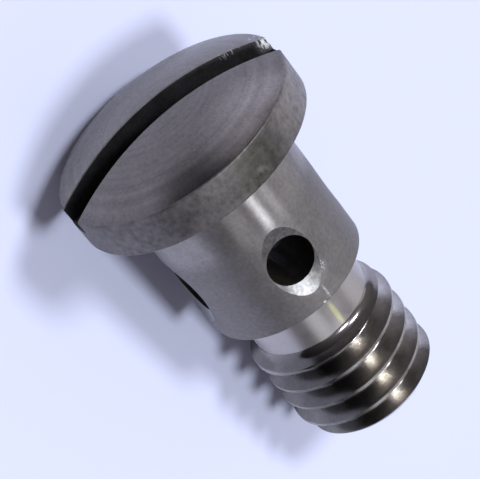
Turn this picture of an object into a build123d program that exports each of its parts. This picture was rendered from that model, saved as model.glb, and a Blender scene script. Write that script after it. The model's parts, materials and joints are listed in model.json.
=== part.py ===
import os
from math import atan2, cos, degrees, radians, sin, tan

from build123d import *

os.makedirs("parts", exist_ok=True)

# A slotted shoulder screw turned from one bar, lying on its side.
# Lengths along the screw are counted from the rim of its domed head toward the thread.
# Azimuths are in degrees about the axis, from the first cross hole, right-handed toward the head.

# Head
HEAD_DIAMETER = 9.54
DOME_RISE = 1.07
BAND_HEIGHT = 1.54
EDGE_BREAK = 0.08  # on the head's two rims and the shoulder's end
SLOT_WIDTH = 1.4
SLOT_DEPTH = 0.61  # below the rim, at both ends of the slot
SLOT_OFFSET = 0.17  # slot centre line to screw axis
SLOT_AZIMUTH = 86.5

# Shoulder with its two crossing holes
SHOULDER_DIAMETER = 6.46
SHOULDER_LENGTH = 6.35
HOLE_DIAMETER = 1.92
HOLE_FROM_HEAD = 4.07  # seat under the head to hole centre
MOUTH_LENGTH = 3.14  # countersunk mouth, measured along the screw
MOUTH_ANGLE = 151.0
MOUTH_COUNT = 4

# Neck and thread
NECK_DIAMETER = 4.9
NECK_LENGTH = 1.96
RISE_ANGLE = 60.0  # end of the neck, from the axis
THREAD_DIAMETER = 5.84
THREAD_PITCH = 1.0
THREAD_LENGTH = 4.35  # neck to plain end
THREAD_ANGLE = 60.0
CREST_SHARE = 0.125  # flat crest as a share of the pitch
ROOT_SHARE = 0.1667
CREST_FROM_SHOULDER = 2.155  # first whole crest, at azimuth zero
RUN_OUT_AZIMUTH = -170.0  # where the cutter starts to leave the groove
END_CHAMFER = 0.4
CUTTER_LIFT = 0.05  # flanks carry on this far past the crests
CUTTER_TOP = 0.3

# How it lies
FIRST_HOLE_ROLL = -19.5  # azimuth from straight up to the first cross hole
SEAM_AZIMUTH = 45.0  # midway between two cross holes

head_radius = HEAD_DIAMETER / 2
shoulder_radius = SHOULDER_DIAMETER / 2
neck_radius = NECK_DIAMETER / 2
thread_radius = THREAD_DIAMETER / 2
end_radius = thread_radius - END_CHAMFER
shoulder_end = BAND_HEIGHT + SHOULDER_LENGTH
hole_station = BAND_HEIGHT + HOLE_FROM_HEAD
rise_length = (thread_radius - neck_radius) / tan(radians(RISE_ANGLE))
thread_start = shoulder_end + NECK_LENGTH + rise_length
screw_end = shoulder_end + NECK_LENGTH + THREAD_LENGTH
full_thread_end = screw_end - END_CHAMFER
dome_radius = ((head_radius - EDGE_BREAK) ** 2 + DOME_RISE**2) / (2 * DOME_RISE)

# The head's lower edge and the last whole crest below touch the ground.
up_azimuth = -FIRST_HOLE_ROLL
crest_station = shoulder_end + CREST_FROM_SHOULDER - THREAD_PITCH * (up_azimuth + 180) / 360
turns_left = (full_thread_end - crest_station) // THREAD_PITCH
ground_crest = crest_station + (turns_left + CREST_SHARE / 2) * THREAD_PITCH
ground_rim = BAND_HEIGHT - EDGE_BREAK
tilt = atan2(head_radius - thread_radius, ground_crest - ground_rim)
head_reach = dome_radius - (dome_radius - DOME_RISE) * cos(tilt)
end_reach = screw_end * cos(tilt) + end_radius * sin(tilt)
rim_x = (head_reach - end_reach) / 2
rim_z = head_radius * cos(tilt) + ground_rim * sin(tilt)
upright = Plane(
    origin=(rim_x, 0, rim_z),
    x_dir=(sin(tilt), 0, cos(tilt)),
    z_dir=(-cos(tilt), 0, sin(tilt)),
)
rim_plane = upright.moved(Rotation(0, 0, -up_azimuth))
screw_axis = Axis(rim_plane.origin, rim_plane.z_dir)


# The half plane at an azimuth: x outward from the axis, y toward the head
def half_plane(azimuth):
    turned = rim_plane.moved(Rotation(0, 0, azimuth))
    return Plane(origin=turned.origin, x_dir=turned.x_dir, z_dir=-turned.y_dir)


# The plane that touches the shoulder at an azimuth, at the cross holes' station
def mouth_plane(azimuth):
    turned = rim_plane.offset(-hole_station).moved(Rotation(0, 0, azimuth))
    touching = turned.origin + turned.x_dir * shoulder_radius
    return Plane(origin=touching, x_dir=turned.z_dir, z_dir=turned.x_dir)


# Thread groove: a V with a flat root, straight-sided clear of the crests
flank_slope = tan(radians(THREAD_ANGLE / 2))
groove_depth = THREAD_PITCH * (1 - CREST_SHARE - ROOT_SHARE) / 2 / flank_slope
root_radius = thread_radius - groove_depth
root_half = THREAD_PITCH * ROOT_SHARE / 2
lift_radius = thread_radius + CUTTER_LIFT
lift_half = THREAD_PITCH * (1 - CREST_SHARE) / 2 + CUTTER_LIFT * flank_slope
cutter_radius = thread_radius + CUTTER_TOP
run_out_length = (thread_radius**2 - root_radius**2) ** 0.5
first_groove = shoulder_end + CREST_FROM_SHOULDER - THREAD_PITCH / 2
run_out_station = first_groove - THREAD_PITCH * RUN_OUT_AZIMUTH / 360
groove_turns = int((screw_end - run_out_station) / THREAD_PITCH) + 1.5
groove_rise = groove_turns * THREAD_PITCH
groove_start = run_out_station + groove_rise
start_azimuth = RUN_OUT_AZIMUTH - 360 * groove_turns
helix_plane = rim_plane.offset(-groove_start).moved(Rotation(0, 0, start_azimuth))
groove_path = helix_plane.location * Helix(
    pitch=THREAD_PITCH, height=groove_rise, radius=thread_radius
)


def groove_outline(station):
    Polyline(
        (root_radius, -station - root_half),
        (lift_radius, -station - lift_half),
        (cutter_radius, -station - lift_half),
        (cutter_radius, -station + lift_half),
        (lift_radius, -station + lift_half),
        (root_radius, -station + root_half),
        close=True,
    )


with BuildPart() as screw:
    with BuildSketch(half_plane(SEAM_AZIMUTH)):
        with BuildLine():
            dome = TangentArc((0, DOME_RISE), (head_radius - EDGE_BREAK, 0), tangent=(1, 0))
            Polyline(
                dome @ 1,
                (head_radius, -EDGE_BREAK),
                (head_radius, -ground_rim),
                (head_radius - EDGE_BREAK, -BAND_HEIGHT),
                (shoulder_radius, -BAND_HEIGHT),
                (shoulder_radius, EDGE_BREAK - shoulder_end),
                (shoulder_radius - EDGE_BREAK, -shoulder_end),
                (neck_radius, -shoulder_end),
                (neck_radius, -shoulder_end - NECK_LENGTH),
                (thread_radius, -thread_start),
                (thread_radius, -full_thread_end),
                (end_radius, -screw_end),
                (0, -screw_end),
                dome @ 0,
            )
        make_face()
    revolve(axis=screw_axis)

    # Screwdriver slot
    with BuildSketch(rim_plane.offset(-SLOT_DEPTH).moved(Rotation(0, 0, SLOT_AZIMUTH))):
        with Locations((0, -SLOT_OFFSET)):
            Rectangle(2 * HEAD_DIAMETER, SLOT_WIDTH)
    extrude(amount=SLOT_DEPTH + 2 * DOME_RISE, mode=Mode.SUBTRACT)

    # Cross holes, with a wide shallow countersink at each mouth
    for number in range(MOUTH_COUNT):
        with Locations(mouth_plane(number * 360 / MOUTH_COUNT)):
            CounterSinkHole(
                radius=HOLE_DIAMETER / 2,
                counter_sink_radius=MOUTH_LENGTH / 2,
                depth=shoulder_radius,
                counter_sink_angle=MOUTH_ANGLE,
            )

    # Thread groove along its helix
    with BuildSketch(half_plane(start_azimuth)):
        with BuildLine():
            groove_outline(groove_start)
        make_face()
    sweep(path=groove_path, is_frenet=True, mode=Mode.SUBTRACT)

    # The cutter leaves the groove along a tangent, so the groove fades out beside the neck
    with BuildSketch(half_plane(RUN_OUT_AZIMUTH)):
        with BuildLine():
            groove_outline(run_out_station)
        make_face()
    extrude(amount=-run_out_length, mode=Mode.SUBTRACT)

screw.part.label = "screw"
export_step(screw.part, "parts/screw.step")
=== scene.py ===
import json
import math

import bpy
from mathutils import Matrix, Vector

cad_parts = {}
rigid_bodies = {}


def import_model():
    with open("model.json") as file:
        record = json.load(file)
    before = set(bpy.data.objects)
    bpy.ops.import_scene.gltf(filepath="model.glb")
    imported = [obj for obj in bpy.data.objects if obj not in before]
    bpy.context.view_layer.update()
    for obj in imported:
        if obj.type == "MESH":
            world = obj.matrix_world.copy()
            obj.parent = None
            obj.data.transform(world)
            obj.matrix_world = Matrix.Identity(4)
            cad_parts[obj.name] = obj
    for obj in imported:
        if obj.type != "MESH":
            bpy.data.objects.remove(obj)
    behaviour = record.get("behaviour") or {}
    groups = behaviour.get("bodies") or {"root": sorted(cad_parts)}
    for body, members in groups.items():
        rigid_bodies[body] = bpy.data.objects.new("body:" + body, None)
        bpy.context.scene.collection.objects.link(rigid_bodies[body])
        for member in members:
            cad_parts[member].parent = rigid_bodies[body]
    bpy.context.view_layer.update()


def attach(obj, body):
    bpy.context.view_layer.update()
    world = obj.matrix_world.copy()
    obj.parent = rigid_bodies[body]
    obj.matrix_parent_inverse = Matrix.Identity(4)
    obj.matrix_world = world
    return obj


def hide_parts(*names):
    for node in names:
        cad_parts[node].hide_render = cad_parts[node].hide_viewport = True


for leftover in list(bpy.data.objects):  # a new Blender file has a cube, a lamp and a camera
    bpy.data.objects.remove(leftover)
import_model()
print("stage: frame loaded")

# The screw is modelled upright in millimetres, rim of the dome at height 0, thread downwards,
# with the first cross hole toward +X. It is laid down in its real place at the end.
millimetre = 0.001
hair = 0.001  # a tolerance in the upright screw's millimetres
weldGap = 0.0000002  # in metres
smoothAngle = math.radians(12)
flatAngle = math.radians(0.5)

# how finely each round shape is divided
meshSteps = {
    "turned": 192,
    "dome": 36,
    "corner": 8,
    "neckRise": 6,
    "threadStart": 5,
    "slotEdge": 256,
    "drill": 128,
    "grooveRoot": 5,
    "grooveTurn": 160,
}


def pickOnly(piece):
    bpy.ops.object.select_all(action="DESELECT")
    piece.select_set(True)
    bpy.context.view_layer.objects.active = piece


def startEdit(piece, pick="SELECT"):
    pickOnly(piece)
    bpy.ops.object.mode_set(mode="EDIT")
    bpy.ops.mesh.select_all(action=pick)


def endEdit():
    bpy.ops.object.mode_set(mode="OBJECT")


def endSolid():  # with every face turned outward
    bpy.ops.mesh.select_all(action="SELECT")
    bpy.ops.mesh.normals_make_consistent(inside=False)
    endEdit()


def nameNew(name):
    piece = bpy.context.active_object
    piece.name = name
    piece.data.name = name
    return piece


def applyPlace(piece):
    pickOnly(piece)
    bpy.ops.object.transform_apply(location=True, rotation=True, scale=True)


def applyModifier(piece, modifier):
    pickOnly(piece)
    bpy.ops.object.modifier_apply(modifier=modifier.name)


# the walls that a cutter leaves take the cutter's own steels
def cutWith(piece, cutter, *names):
    for name in names:
        cutter.data.materials.append(steels[name])
    cut = piece.modifiers.new("cut", "BOOLEAN")
    cut.operation = "DIFFERENCE"
    cut.solver = "EXACT"
    cut.material_mode = "TRANSFER"
    cut.object = cutter
    applyModifier(piece, cut)
    bpy.data.objects.remove(cutter)


# like a bar in a lathe: a disc is drawn out, one scaled ring for each point of the profile
def turnProfile(name, points, steps):
    radius, height = points[0]
    bpy.ops.mesh.primitive_circle_add(
        vertices=steps, radius=radius, fill_type="NGON", location=(0, 0, height)
    )
    piece = nameNew(name)
    applyPlace(piece)
    startEdit(piece)
    for nextRadius, nextHeight in points[1:]:
        bpy.ops.mesh.extrude_region_move(
            TRANSFORM_OT_translate={"value": (0, 0, nextHeight - height)}
        )
        scale = nextRadius / radius
        bpy.ops.transform.resize(value=(scale, scale, 1), center_override=(0, 0, nextHeight))
        radius, height = nextRadius, nextHeight
    endSolid()
    return piece


headShape = {
    "radius": 4.77,
    "domeRise": 1.07,
    "poleGap": 0.5,  # degrees of the dome's arc that stay flat at the axis
    "bandHeight": 1.54,
    "rimRound": 0.1,
    "seatRound": 0.08,
    "seatFillet": 0.12,
}
shoulderShape = {
    "radius": 3.23,
    "length": 6.35,
    "edgeRound": 0.07,
}
neckShape = {
    "radius": 2.45,
    "length": 1.96,
    "riseAngle": 60.0,  # end of the neck, from the axis
    "rootRound": 0.15,
    "riseRound": 0.4,
    "startRound": 0.08,
}
threadShape = {
    "radius": 2.92,
    "pitch": 1.0,
    "length": 4.35,
    "flankAngle": 60.0,
    "crestShare": 0.125,  # flat crest as a share of the pitch
    "rootShare": 0.1667,
    "rootRound": 0.07,
    "crestFromShoulder": 2.155,  # first whole crest, at azimuth zero
    "runOutAzimuth": -170.0,  # where the cutter starts to leave the groove
    "turnsPastEnd": 1.5,
    "endChamfer": 0.4,
    "cutterLift": 0.05,  # the cutter's flanks carry on this far past the crests
    "cutterTop": 0.3,
}

domeRim = headShape["radius"] - headShape["seatRound"]  # where the dome's sphere is at height 0
domeRadius = (domeRim**2 + headShape["domeRise"] ** 2) / (2 * headShape["domeRise"])
domeCentre = headShape["domeRise"] - domeRadius
shoulderEnd = -headShape["bandHeight"] - shoulderShape["length"]
neckEnd = shoulderEnd - neckShape["length"]
riseTurn = math.radians(neckShape["riseAngle"])
threadTop = neckEnd - (threadShape["radius"] - neckShape["radius"]) / math.tan(riseTurn)
screwEnd = neckEnd - threadShape["length"]
fullThreadEnd = screwEnd + threadShape["endChamfer"]


# points of an arc in (radius, height), angles from the +radius side, in degrees
def arc(centre, radius, start, end, steps):
    points = []
    for i in range(steps + 1):
        angle = math.radians(start + (end - start) * i / steps)
        points.append((centre[0] + radius * math.cos(angle), centre[1] + radius * math.sin(angle)))
    return points


def edgeArc(reach, height, size):  # rounds an outer edge
    return arc((reach - size, height + size), size, 0, -90, meshSteps["corner"])


def filletArc(reach, height, size):  # fills an inner corner
    return arc((reach + size, height - size), size, 90, 180, meshSteps["corner"])


# the dome's arc and the rounding that runs from it into the band
def domeProfile():
    head = headShape["radius"]
    rim = headShape["rimRound"]
    slope = math.degrees(math.asin((head - rim) / (domeRadius - rim)))
    rimHeight = domeCentre + math.sqrt((domeRadius - rim) ** 2 - (head - rim) ** 2)
    start = 90 - headShape["poleGap"]
    points = arc((0, domeCentre), domeRadius, start, 90 - slope, meshSteps["dome"])
    points += arc((head - rim, rimHeight), rim, 90 - slope, 0, meshSteps["corner"])[1:]
    return points


# half outline of the blank, from the middle of the dome to the end face of the thread
def screwProfile():
    seat = -headShape["bandHeight"]
    shoulder = shoulderShape["radius"]
    neck = neckShape["radius"]
    thread = threadShape["radius"]
    points = domeProfile()
    points += edgeArc(headShape["radius"], seat, headShape["seatRound"])
    points += filletArc(shoulder, seat, headShape["seatFillet"])
    points += edgeArc(shoulder, shoulderEnd, shoulderShape["edgeRound"])
    points += filletArc(neck, shoulderEnd, neckShape["rootRound"])

    # the rise from the neck to the thread, rounded at both ends
    slope = neckShape["riseAngle"]
    half = math.tan(riseTurn / 2)
    foot = neckShape["riseRound"]
    footCentre = (neck + foot, neckEnd + foot * half)
    points += arc(footCentre, foot, 180, 180 + slope, meshSteps["neckRise"])
    top = neckShape["startRound"]
    topCentre = (thread - top, threadTop - top * half)
    points += arc(topCentre, top, slope, 0, meshSteps["threadStart"])
    points.append((thread, fullThreadEnd))
    points.append((thread - threadShape["endChamfer"], screwEnd))
    return points


slotShape = {
    "width": 1.4,
    "floor": -0.61,
    "offset": -0.17,  # slot centre line to screw axis
    "azimuth": 86.5,
    "edgeBreak": 0.035,
    "cutterReach": 3,  # in head radii
    "cutterHeight": 3.0,
}


def slotCutter():
    length = slotShape["cutterReach"] * headShape["radius"]
    height = slotShape["cutterHeight"]
    bpy.ops.mesh.primitive_cube_add(
        size=1, location=(0, slotShape["offset"], slotShape["floor"] + height / 2)
    )
    cutter = nameNew("slotCutter")
    cutter.scale = (length, slotShape["width"], height)
    applyPlace(cutter)
    cutter.rotation_euler = (0, 0, math.radians(slotShape["azimuth"]))
    applyPlace(cutter)
    return cutter


# a thin four-sided ring along one long edge of the slot, which breaks that edge
def edgeCutter(side):
    wall = slotShape["offset"] + side * slotShape["width"] / 2
    turn = math.radians(slotShape["azimuth"])
    bpy.ops.mesh.primitive_torus_add(
        major_radius=math.sqrt(domeRadius**2 - wall**2),
        minor_radius=slotShape["edgeBreak"],
        major_segments=meshSteps["slotEdge"],
        minor_segments=4,
        location=(-math.sin(turn) * wall, math.cos(turn) * wall, domeCentre),
        rotation=(math.pi / 2, 0, turn),
    )
    cutter = nameNew("edgeCutter")
    applyPlace(cutter)
    return cutter


holeShape = {
    "radius": 0.96,
    "fromHead": 4.07,  # seat under the head to hole centre
    "mouthLength": 3.14,
    "mouthAngle": 151.0,
    "cutterPast": 0.3,  # the cones carry on this far outside the shoulder
    # the side hole's mouth takes a darker copy of the mouth steel, with painted shade
    "mouthSteels": {0: "mouthSteel", 90: "sideMouthShadedSteel"},  # by the azimuth of the hole
}


# a drill right through, with a wide shallow cone at each end
def holeCutter(azimuth):
    slope = math.tan(math.radians(holeShape["mouthAngle"] / 2))
    hole = holeShape["radius"]
    mouth = holeShape["mouthLength"] / 2
    wide = mouth + holeShape["cutterPast"] * slope
    deep = shoulderShape["radius"] - (mouth - hole) / slope
    outside = shoulderShape["radius"] + holeShape["cutterPast"]
    rings = [(wide, -outside), (hole, -deep), (hole, deep), (wide, outside)]
    cutter = turnProfile("holeCutter", rings, meshSteps["drill"])
    for face in cutter.data.polygons:  # the drill's wall takes the second steel
        face.material_index = int(abs(face.center.z) < hole)
    cutter.rotation_euler = (0, math.pi / 2, math.radians(azimuth))
    cutter.location = (0, 0, -headShape["bandHeight"] - holeShape["fromHead"])
    applyPlace(cutter)
    return cutter


flankSlope = math.tan(math.radians(threadShape["flankAngle"] / 2))
grooveShare = 1 - threadShape["crestShare"] - threadShape["rootShare"]
rootRadius = threadShape["radius"] - threadShape["pitch"] * grooveShare / 2 / flankSlope


# leaves edit mode open, with only the points that pass the test picked
def pickPoints(piece, test):
    startEdit(piece, "DESELECT")
    bpy.ops.mesh.select_mode(type="VERT")
    endEdit()
    points = piece.data.vertices
    for point in points:
        point.select = test(point.co)
    for edge in piece.data.edges:
        edge.select = all(points[i].select for i in edge.vertices)
    bpy.ops.object.mode_set(mode="EDIT")


# the edges of the groove's V in the XZ plane, with a rounded root
def grooveOutline():
    pitch = threadShape["pitch"]
    lift = threadShape["cutterLift"]
    rootHalf = pitch * threadShape["rootShare"] / 2
    liftHalf = pitch * (1 - threadShape["crestShare"]) / 2 + lift * flankSlope
    liftRadius = threadShape["radius"] + lift
    topRadius = threadShape["radius"] + threadShape["cutterTop"]
    middle = (rootRadius + liftRadius) / 2
    bpy.ops.mesh.primitive_plane_add(
        size=1, location=(middle, 0, 0), rotation=(math.pi / 2, 0, 0)
    )
    outline = nameNew("grooveCutter")
    outline.scale = (liftRadius - rootRadius, 2 * rootHalf, 1)
    applyPlace(outline)
    pickPoints(outline, lambda point: point.x > middle)
    bpy.ops.transform.resize(value=(1, 1, liftHalf / rootHalf), center_override=(0, 0, 0))
    bpy.ops.mesh.extrude_region_move(
        TRANSFORM_OT_translate={"value": (topRadius - liftRadius, 0, 0)}
    )
    bpy.ops.mesh.select_all(action="SELECT")
    bpy.ops.mesh.dissolve_limited(angle_limit=flatAngle, use_dissolve_boundaries=False)
    endEdit()
    pickPoints(outline, lambda point: point.x < rootRadius + hair)
    bpy.ops.mesh.bevel(
        offset=threadShape["rootRound"], offset_type="WIDTH", segments=meshSteps["grooveRoot"],
        affect="VERTICES",
    )
    bpy.ops.mesh.select_all(action="SELECT")
    bpy.ops.mesh.delete(type="ONLY_FACE")
    endEdit()
    return outline


# the groove's outline wound up the helix, its upper end let out along the tangent
def grooveCutter():
    pitch = threadShape["pitch"]
    azimuth = threadShape["runOutAzimuth"]
    turn = math.radians(azimuth)
    runOutHeight = shoulderEnd - threadShape["crestFromShoulder"] + pitch / 2
    runOutHeight += pitch * azimuth / 360
    turns = int((runOutHeight - screwEnd) / pitch) + threadShape["turnsPastEnd"]
    cutter = grooveOutline()
    cutter.rotation_euler = (0, 0, turn - turns * 2 * math.pi)
    cutter.location = (0, 0, runOutHeight - turns * pitch)
    applyPlace(cutter)
    wind = cutter.modifiers.new("wind", "SCREW")
    wind.axis = "Z"
    wind.angle = turns * 2 * math.pi
    wind.screw_offset = turns * pitch
    wind.steps = int(turns * meshSteps["grooveTurn"])
    wind.render_steps = wind.steps
    wind.use_smooth_shade = False
    applyModifier(cutter, wind)

    startEdit(cutter, "DESELECT")
    bpy.ops.mesh.select_mode(type="EDGE")
    bpy.ops.mesh.select_non_manifold(extend=False, use_wire=False, use_multi_face=False)
    bpy.ops.mesh.edge_face_add()
    bpy.ops.mesh.select_mode(type="FACE")
    bpy.ops.mesh.select_all(action="DESELECT")
    endEdit()
    for face in cutter.data.polygons:  # only the two end faces have more than four corners
        face.select = len(face.vertices) > 4 and face.center.z > runOutHeight - pitch / 2
    bpy.ops.object.mode_set(mode="EDIT")
    length = math.sqrt(threadShape["radius"] ** 2 - rootRadius**2)
    bpy.ops.mesh.extrude_region_move(
        TRANSFORM_OT_translate={"value": (-math.sin(turn) * length, math.cos(turn) * length, 0)}
    )
    endSolid()
    return cutter


def reportPiece(piece):
    edgeFaces = {}
    for face in piece.data.polygons:
        for key in face.edge_keys:
            edgeFaces[key] = edgeFaces.get(key, 0) + 1
    openEdges = sum(1 for count in edgeFaces.values() if count != 2)
    print("mesh:", piece.name, len(piece.data.vertices), "points",
          len(piece.data.polygons), "faces", openEdges, "open edges")
    corners = [piece.matrix_world @ Vector(corner) / millimetre for corner in piece.bound_box]
    print("box:", [round(min(c[i] for c in corners), 3) for i in range(3)],
          [round(max(c[i] for c in corners), 3) for i in range(3)])


restPose = {
    "upAzimuth": 19.5,  # the side that lies on top, from the first cross hole
}


# where the upright screw lies: on the head's rim and on the last whole crest below
# its columns are the first hole's direction, the one a quarter turn on, and headward
def restMatrix():
    pitch = threadShape["pitch"]
    crest = threadShape["crestFromShoulder"] - shoulderEnd
    crest -= pitch * (restPose["upAzimuth"] + 180) / 360
    turnsLeft = (-fullThreadEnd - crest) // pitch
    crest += (turnsLeft + threadShape["crestShare"] / 2) * pitch
    head = headShape["radius"]
    rim = headShape["bandHeight"] - headShape["seatRound"]
    tilt = math.atan2(head - threadShape["radius"], crest - rim)
    headReach = domeRadius + domeCentre * math.cos(tilt)
    endRadius = threadShape["radius"] - threadShape["endChamfer"]
    endReach = -screwEnd * math.cos(tilt) + endRadius * math.sin(tilt)
    lift = head * math.cos(tilt) + rim * math.sin(tilt)
    place = Vector(((headReach - endReach) / 2, 0, lift))
    headward = Vector((-math.cos(tilt), 0, math.sin(tilt)))
    upward = Vector((math.sin(tilt), 0, math.cos(tilt)))
    across = headward.cross(upward)
    turn = math.radians(-restPose["upAzimuth"])
    first = upward * math.cos(turn) + across * math.sin(turn)
    second = headward.cross(first)
    rows = [(first[i], second[i], headward[i], place[i] * millimetre) for i in range(3)]
    return Matrix((*rows, (0, 0, 0, 1)))


rest = restMatrix()

quarterTurn = 0.25  # the brushed shine runs across the cutting marks
usualNoise = (0.3, 0.7)  # most of a noise lies between these
fineNoise = {"Detail": 3, "Roughness": 0.6}
crumbNoise = {"Detail": 2, "Roughness": 0.6}
markCore = 0.25  # the share of a mark's size where it is at full strength


def addNode(owner, kind, settings=None, inputs=None):
    node = owner.node_tree.nodes.new("ShaderNode" + kind)
    for name, value in (settings or {}).items():
        setattr(node, name, value)
    for name, value in (inputs or {}).items():
        node.inputs[name].default_value = value
    return node


def connect(owner, output, socket):
    owner.node_tree.links.new(output, socket)


# one local mark, such as a stain, a cluster of bright burrs or a patch of painted light or shade,
# laid over the colour so far
# its place is a reach, azimuth and height, and its half sizes go outward, around and along
def addMark(material, upright, colour, mark):
    reach, azimuth, height = mark["at"]
    turn = math.radians(azimuth)
    local = addNode(material, "Mapping", {"vector_type": "TEXTURE"}, {
        "Location": (reach * math.cos(turn), reach * math.sin(turn), height),
        "Rotation": (0, 0, turn),
        "Scale": mark["size"],
    })
    connect(material, upright, local.inputs["Vector"])
    away = addNode(material, "VectorMath", {"operation": "LENGTH"})
    connect(material, local.outputs["Vector"], away.inputs[0])
    near = addNode(material, "MapRange", {"interpolation_type": "SMOOTHSTEP"},
                   {"From Min": 1, "From Max": markCore})
    connect(material, away.outputs["Value"], near.inputs["Value"])
    stretch = addNode(material, "Mapping", None, {
        "Rotation": [math.radians(angle) for angle in mark["turn"]],
        "Scale": mark["scale"],
    })
    connect(material, upright, stretch.inputs["Vector"])
    crumbs = addNode(material, "TexNoise", None, {"Scale": 1, **crumbNoise})
    connect(material, stretch.outputs["Vector"], crumbs.inputs["Vector"])
    sharp = addNode(material, "MapRange", None,
                    {"From Min": mark["above"], "From Max": mark["above"] + mark["edge"]})
    connect(material, crumbs.outputs["Fac"], sharp.inputs["Value"])
    share = addNode(material, "Math", {"operation": "MULTIPLY"})
    connect(material, near.outputs["Result"], share.inputs[0])
    connect(material, sharp.outputs["Result"], share.inputs[1])
    # in colour mode the node's own colours are sockets 6 and 7, and its result is output 2
    mix = addNode(material, "Mix", {"data_type": "RGBA", "blend_type": mark["blend"]},
                  {7: (*mark["colour"], 1)})
    connect(material, share.outputs["Value"], mix.inputs[0])
    connect(material, colour, mix.inputs[6])
    return mix.outputs[2]


# a finer finish over part of the length, which fades out down the screw
def polishPart(material, shader, upright, polish):
    fine = addNode(material, "BsdfPrincipled", None, {
        "Metallic": shader.inputs["Metallic"].default_value,
        "Roughness": polish["roughness"],
        "Anisotropic": polish["brushed"],
        "Anisotropic Rotation": quarterTurn,
    })
    for name in ("Normal", "Tangent"):
        connect(material, shader.inputs[name].links[0].from_socket, fine.inputs[name])
    lighter = addNode(material, "VectorMath", {"operation": "SCALE"}, {"Scale": polish["lighter"]})
    connect(material, shader.inputs["Base Color"].links[0].from_socket, lighter.inputs[0])
    connect(material, lighter.outputs["Vector"], fine.inputs["Base Color"])
    apart = addNode(material, "SeparateXYZ")
    connect(material, upright, apart.inputs["Vector"])
    fade = addNode(material, "MapRange", {"interpolation_type": "SMOOTHSTEP"}, {
        "From Min": polish["end"], "From Max": polish["start"], "To Max": polish["share"],
    })
    connect(material, apart.outputs["Z"], fade.inputs["Value"])
    both = addNode(material, "MixShader")
    connect(material, fade.outputs["Result"], both.inputs["Fac"])
    connect(material, shader.outputs["BSDF"], both.inputs[1])
    connect(material, fine.outputs["BSDF"], both.inputs[2])
    output = material.node_tree.nodes["Material Output"]
    connect(material, both.outputs["Shader"], output.inputs["Surface"])


# the direction round the screw's axis, which the cutting marks follow
def aroundAxis(material, place):
    reach = addNode(material, "VectorMath", {"operation": "SUBTRACT"}, {1: rest.to_translation()})
    connect(material, place, reach.inputs[0])
    axis = rest.col[2].to_3d()
    around = addNode(material, "VectorMath", {"operation": "CROSS_PRODUCT"}, {0: axis})
    connect(material, reach.outputs["Vector"], around.inputs[1])
    along = addNode(material, "VectorMath", {"operation": "NORMALIZE"})
    connect(material, around.outputs["Vector"], along.inputs[0])
    return along.outputs["Vector"]


# the patterns, each with its share, between the dark and the light tone
def steelTone(material, patterns, look):
    total = addNode(material, "Value")
    total.outputs["Value"].default_value = (1 - sum(share for noise, share in patterns)) / 2
    for noise, share in patterns:
        part = addNode(material, "Math", {"operation": "MULTIPLY_ADD"}, {1: share})
        connect(material, noise.outputs["Fac"], part.inputs[0])
        connect(material, total.outputs["Value"], part.inputs[2])
        total = part
    tone = addNode(material, "ValToRGB")
    tone.color_ramp.elements[0].color = (*look["dark"], 1)
    tone.color_ramp.elements[1].color = (*look["light"], 1)
    connect(material, total.outputs["Value"], tone.inputs["Fac"])
    return tone.outputs["Color"]


def addBump(material, pattern, height):
    bump = addNode(material, "Bump", None, {"Strength": 1, "Distance": height * millimetre})
    connect(material, pattern.outputs["Fac"], bump.inputs["Height"])
    return bump


# turned steel, read in the upright screw's millimetres whatever way the screw lies
def steelLook(name, look):
    material = bpy.data.materials.new(name)
    material.use_nodes = True
    shader = material.node_tree.nodes["Principled BSDF"]
    place = addNode(material, "TexCoord")
    mapping = addNode(material, "Mapping", {"vector_type": "TEXTURE"}, {
        "Location": rest.to_translation(),
        "Rotation": rest.to_euler("XYZ"),
        "Scale": (millimetre, millimetre, millimetre),
    })
    connect(material, place.outputs["Object"], mapping.inputs["Vector"])
    upright = mapping.outputs["Vector"]
    connect(material, aroundAxis(material, place.outputs["Object"]), shader.inputs["Tangent"])
    shader.inputs["Anisotropic"].default_value = look["brushed"]
    shader.inputs["Anisotropic Rotation"].default_value = quarterTurn
    shader.inputs["Metallic"].default_value = look["metallic"]

    # cutting marks: fine steps along the axis, or outward on the dome
    flat = addNode(material, "VectorMath", {"operation": "MULTIPLY"}, {1: look["ringsAlong"]})
    connect(material, upright, flat.inputs[0])
    ringPlace = addNode(material, "VectorMath", {"operation": "LENGTH"})
    connect(material, flat.outputs["Vector"], ringPlace.inputs[0])
    rings = addNode(material, "TexNoise", {"noise_dimensions": "1D"},
                    {"Scale": look["ringScale"], **fineNoise})
    connect(material, ringPlace.outputs["Value"], rings.inputs["W"])
    grain = addNode(material, "TexNoise", None, {"Scale": look["grainScale"], **fineNoise})
    cloud = addNode(material, "TexNoise", None,
                    {"Scale": look["cloudScale"], "Detail": fineNoise["Detail"]})
    for noise in (grain, cloud):
        connect(material, upright, noise.inputs["Vector"])

    patterns = (
        (rings, look["ringShare"]), (grain, look["grainShare"]), (cloud, look["cloudShare"]),
    )
    colour = steelTone(material, patterns, look)
    for mark in look["marks"]:
        colour = addMark(material, upright, colour, mark)
    connect(material, colour, shader.inputs["Base Color"])

    gloss = addNode(material, "MapRange", None, {
        "From Min": usualNoise[0], "From Max": usualNoise[1],
        "To Min": look["roughness"][0], "To Max": look["roughness"][1],
    })
    connect(material, cloud.outputs["Fac"], gloss.inputs["Value"])
    connect(material, gloss.outputs["Result"], shader.inputs["Roughness"])

    grainBump = addBump(material, grain, look["grainHeight"])
    ringBump = addBump(material, rings, look["ringHeight"])
    connect(material, grainBump.outputs["Normal"], ringBump.inputs["Normal"])
    connect(material, ringBump.outputs["Normal"], shader.inputs["Normal"])
    if look["polish"]:
        polishPart(material, shader, upright, look["polish"])
    return material


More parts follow.
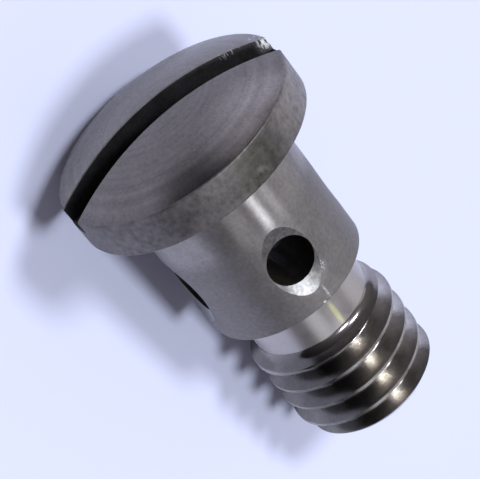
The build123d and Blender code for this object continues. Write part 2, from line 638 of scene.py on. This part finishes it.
# what every steel has unless its own look says otherwise
plainSteel = {
    "dark": (0.165, 0.152, 0.141),
    "light": (0.275, 0.256, 0.239),
    "metallic": 0.85,
    "roughness": (0.46, 0.54),
    "brushed": 0.2,
    "ringsAlong": (0, 0, 1),
    "ringScale": 9.0,
    "ringShare": 0.15,
    "ringHeight": 0.0003,
    "grainScale": 7.0,
    "grainShare": 1.3,
    "grainHeight": 0.0012,
    "cloudScale": 1.4,
    "cloudShare": 0.8,
    "marks": [],
    "polish": None,
}

# kinds of mark: bright crumbs of metal, a broken stain, and an even patch of painted light or
# shade
burrs = {
    "turn": (35, 0, 0), "scale": (9, 14, 5), "above": 0.58, "edge": 0.06, "blend": "MIX",
    "colour": (0.8, 0.79, 0.77),
}
stain = {
    "turn": (0, 0, 0), "scale": (1.6, 1.6, 1.6), "above": 0.25, "edge": 0.3, "blend": "MULTIPLY",
}
# an even patch of painted light or shade, which lightens or darkens the colour all over its place
paintedLightPatch = {**stain, "above": -1}

slotEnd = (4.53, 96.3, 0)
domeBurrsAndPaintedReflections = [
    # a painted dark reflection near the rim, then a painted light reflection further round; the
    # burrs at the slot's end are the metal's own
    {**paintedLightPatch, "at": (4.8, -17, 0), "size": (2, 1.9, 1.5), "colour": (0.38, 0.37, 0.36)},
    {**paintedLightPatch, "at": (4.6, 30, 0.1), "size": (2.6, 3.1, 2), "colour": (2.1, 2.1, 2.1)},
    {**burrs, "at": slotEnd, "size": (0.5, 0.5, 0.5)},
]
bandStainBurrsAndPaintedReflection = [
    {**stain, "at": (4.8, 11, -0.75), "size": (2.2, 2.0, 2.2), "above": 0.1,
     "colour": (0.45, 0.46, 0.41)},
    # a painted light reflection on one side of the band
    {**paintedLightPatch, "at": (4.77, 56, -0.8), "size": (2, 2.7, 2), "colour": (1.75, 1.75, 1.75)},
    {**burrs, "at": slotEnd, "size": (0.7, 0.7, 0.7)},
]
slotMarks = [
    {**burrs, "at": (4.7, 95.5, -0.1), "size": (0.45, 0.6, 0.55), "above": 0.46},
    {**burrs, "at": (3.6, 98, 0.45), "size": (0.9, 0.6, 0.25), "scale": (4, 14, 3),
     "above": 0.56, "colour": (0.5, 0.5, 0.49)},
]
shoulderMarks = [
    {**burrs, "at": (3.23, 5.8, -7.53), "size": (0.2, 0.07, 0.45), "scale": (18, 18, 18),
     "above": 0.45, "colour": (0.55, 0.54, 0.5)},
    {**burrs, "at": (3.23, 0.8, -7.82), "size": (0.09, 0.09, 0.08), "above": 0},
    {**burrs, "at": (3.23, 13.4, -6.6), "size": (0.2, 0.3, 0.34), "scale": (22, 22, 22),
     "above": 0.54},
]
shoulderPolish = {
    "start": -3.5, "end": -4.4, "share": 0.85, "lighter": 1.45, "roughness": 0.3, "brushed": 0.95,
}
neckPaintedHighlight = [
    # a painted yellowish highlight stripe along the neck
    {**paintedLightPatch, "at": (2.45, 6, -9.05), "size": (0.3, 0.16, 0.9), "colour": (1.75, 1.78, 1.1)},
]
# a painted dark reflection: the thread and the rise darkened on one side, where they mirror the
# shadowed paper
paintedDarkReflection = [
    {**paintedLightPatch, "at": (2.6, -42, -11.5), "size": (2, 2.4, 4), "colour": (0.42, 0.42, 0.42)},
]
crestPaintedLight = paintedDarkReflection + [
    # a painted highlight along the crests, where the lamps shine on them
    {**paintedLightPatch, "at": (2.92, 4, -12), "size": (1, 0.9, 4), "colour": (1.85, 1.8, 1.7)},
]
flankPaintedLight = crestPaintedLight + [
    # painted light on the flanks further round
    {**paintedLightPatch, "at": (2.3, 62, -12), "size": (0.8, 1.6, 4), "colour": (2.2, 2.2, 2.2)},
]

steelLooks = {
    "domeSteel": {
        "dark": (0.125, 0.11, 0.096), "light": (0.215, 0.19, 0.167), "metallic": 0.95,
        "roughness": (0.25, 0.31), "brushed": 0.6, "grainHeight": 0.0006,
        "ringsAlong": (1, 1, 0), "ringScale": 3.6, "ringShare": 1.0, "marks": domeBurrsAndPaintedReflections,
    },
    "bandSteel": {
        "dark": (0.115, 0.105, 0.099), "light": (0.225, 0.206, 0.194),
        "grainShare": 2.0, "grainScale": 4.5, "cloudShare": 1.5, "cloudScale": 1.1,
        "marks": bandStainBurrsAndPaintedReflection,
    },
    "shoulderSteel": {
        "marks": shoulderMarks, "polish": shoulderPolish,
    },
    "neckSteel": {
        "dark": (0.38, 0.357, 0.334), "light": (0.52, 0.492, 0.461), "roughness": (0.27, 0.33),
        "brushed": 0.3, "grainShare": 0.5, "grainHeight": 0.0004, "marks": neckPaintedHighlight,
    },
    "riseSteel": {
        "dark": (0.26, 0.243, 0.223), "light": (0.36, 0.336, 0.313), "metallic": 1.0,
        "roughness": (0.15, 0.19), "brushed": 0.0, "grainHeight": 0.0004, "marks": paintedDarkReflection,
    },
    "crestSteel": {
        "dark": (0.3, 0.282, 0.258), "light": (0.5, 0.476, 0.44), "metallic": 1.0,
        "roughness": (0.23, 0.32), "brushed": 0.0, "grainHeight": 0.004, "marks": crestPaintedLight,
    },
    "flankSteel": {
        "dark": (0.23, 0.218, 0.199), "light": (0.38, 0.36, 0.334), "metallic": 1.0,
        "roughness": (0.19, 0.27), "brushed": 0.0, "grainHeight": 0.003, "marks": flankPaintedLight,
    },
    # the slot's near-black colour is painted shade in the recess
    "slotShadedSteel": {
        "dark": (0.034, 0.031, 0.032), "light": (0.075, 0.069, 0.07), "marks": slotMarks,
    },
    # the drill's dark brown colour is painted shade inside the hole
    "holeShadedSteel": {
        "dark": (0.05, 0.041, 0.032), "light": (0.12, 0.103, 0.08), "roughness": (0.3, 0.4),
    },
    "mouthSteel": {
        "dark": (0.12, 0.114, 0.106), "light": (0.3, 0.29, 0.276), "metallic": 0.9,
        "roughness": (0.36, 0.46), "brushed": 0.3, "grainShare": 1.8, "grainHeight": 0.004,
        "cloudShare": 1.2,
    },
    # a shaded copy of the mouth steel: its darker colour is painted shade, where the mouth faces
    # the shadowed paper
    "sideMouthShadedSteel": {
        "dark": (0.07, 0.067, 0.064), "light": (0.13, 0.124, 0.117), "metallic": 1.0,
        "roughness": (0.16, 0.2), "brushed": 0.0,
    },
    "burrSteel": {
        "dark": (0.28, 0.274, 0.26), "light": (0.5, 0.492, 0.472), "roughness": (0.35, 0.5),
    },
}
steels = {name: steelLook(name, {**plainSteel, **look}) for name, look in steelLooks.items()}
print("stage: steels")


# each turned face gets the steel of its place on the blank
def dressBlank(piece):
    zones = list(steels)
    for steel in steels.values():
        piece.data.materials.append(steel)
    for face in piece.data.polygons:
        height = face.center.z
        reach = math.hypot(face.center.x, face.center.y)
        if height > 0 and reach < headShape["radius"] - headShape["rimRound"] / 2:
            zone = "domeSteel"
        elif height > -headShape["bandHeight"]:
            zone = "bandSteel"
        elif height > shoulderEnd + hair:
            zone = "shoulderSteel"
        elif height > neckEnd + neckShape["riseRound"] / 2:
            zone = "neckSteel"
        elif height > threadTop:
            zone = "riseSteel"
        else:
            zone = "crestSteel"
        face.material_index = zones.index(zone)


screw = turnProfile("screwSteel", screwProfile(), meshSteps["turned"])
dressBlank(screw)
cutWith(screw, slotCutter(), "slotShadedSteel")
for side in (-1, 1):
    cutWith(screw, edgeCutter(side), "burrSteel")
for azimuth, mouth in holeShape["mouthSteels"].items():
    cutWith(screw, holeCutter(azimuth), mouth, "holeShadedSteel")
print("stage: head, shoulder and holes cut")
cutWith(screw, grooveCutter(), "flankSteel")
print("stage: thread cut")

screw.matrix_world = rest @ Matrix.Scale(millimetre, 4)
applyPlace(screw)
startEdit(screw)
bpy.ops.mesh.remove_doubles(threshold=weldGap)
endSolid()
bpy.ops.object.shade_smooth_by_angle(angle=smoothAngle)
reportPiece(screw)

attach(screw, "root")
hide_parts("screw")

floorLook = {
    "size": 1.2,
    "colour": (0.676, 0.695, 0.85),
    "roughness": 0.7,
}
bpy.ops.mesh.primitive_plane_add(size=floorLook["size"], location=(0, 0, 0))
floor = nameNew("floor")
paper = bpy.data.materials.new("palePaper")
paper.use_nodes = True
paperShader = paper.node_tree.nodes["Principled BSDF"]
paperShader.inputs["Base Color"].default_value = (*floorLook["colour"], 1)
paperShader.inputs["Roughness"].default_value = floorLook["roughness"]
floor.data.materials.append(paper)

# each lamp: its direction from the screw, how far it is, its width and its power
lampSet = {
    "headSide": {"toward": (-0.169, 0.28, 1), "distance": 0.5, "width": 0.11, "power": 1.40},
    "tipSide": {"toward": (0.185, -0.106, 1), "distance": 0.5, "width": 0.1, "power": 1.40},
    "fill": {"toward": (0.65, -0.49, 0.58), "distance": 0.5, "width": 0.22, "power": 0.13},
    "side": {"toward": (0.58, 0.72, 0.35), "distance": 0.5, "width": 0.36, "power": 0.19},
}
lampColour = (0.835, 0.885, 1.0)
for name, lamp in lampSet.items():
    direction = Vector(lamp["toward"]).normalized()
    bpy.ops.object.light_add(type="AREA", location=direction * lamp["distance"])
    light = bpy.context.active_object
    light.name = name
    light.rotation_euler = direction.to_track_quat("Z", "Y").to_euler()
    light.data.shape = "DISK"
    light.data.size = lamp["width"]
    light.data.energy = lamp["power"]
    light.data.color = lampColour

# the room grows lighter toward +X, toward +Y and most of all overhead
room = {
    "level": 0.108,
    "slope": (0.06, 0.09, 0.14),  # added to the level for each direction
    "colour": (1.0, 0.93, 1.05),
}
world = bpy.data.worlds.new("room")
world.use_nodes = True
background = world.node_tree.nodes["Background"]
outward = addNode(world, "TexCoord")
slope = addNode(world, "VectorMath", {"operation": "DOT_PRODUCT"}, {1: room["slope"]})
brightness = addNode(world, "Math", {"operation": "ADD", "use_clamp": True}, {1: room["level"]})
connect(world, outward.outputs["Generated"], slope.inputs[0])
connect(world, slope.outputs["Value"], brightness.inputs[0])
connect(world, brightness.outputs["Value"], background.inputs["Strength"])
background.inputs["Color"].default_value = (*room["colour"], 1)
bpy.context.scene.world = world
print("stage: floor and lamps")

cameraView = {
    "place": (-0.03220765, -0.03116994, 0.06749593),
    "turn": (2.0401, -34.38502, 41.16389),
    "lens": 157.557,
    "sensor": 36.0,
    "near": 0.001,
    "far": 10,
}
bpy.ops.object.camera_add(
    location=cameraView["place"],
    rotation=[math.radians(angle) for angle in cameraView["turn"]],
)
camera = bpy.context.active_object
camera.data.sensor_fit = "HORIZONTAL"
camera.data.sensor_width = cameraView["sensor"]
camera.data.lens = cameraView["lens"]
camera.data.clip_start = cameraView["near"]
camera.data.clip_end = cameraView["far"]
bpy.context.scene.camera = camera
bpy.context.scene.view_settings.view_transform = "Standard"
print("stage: camera")

bpy.context.view_layer.update()
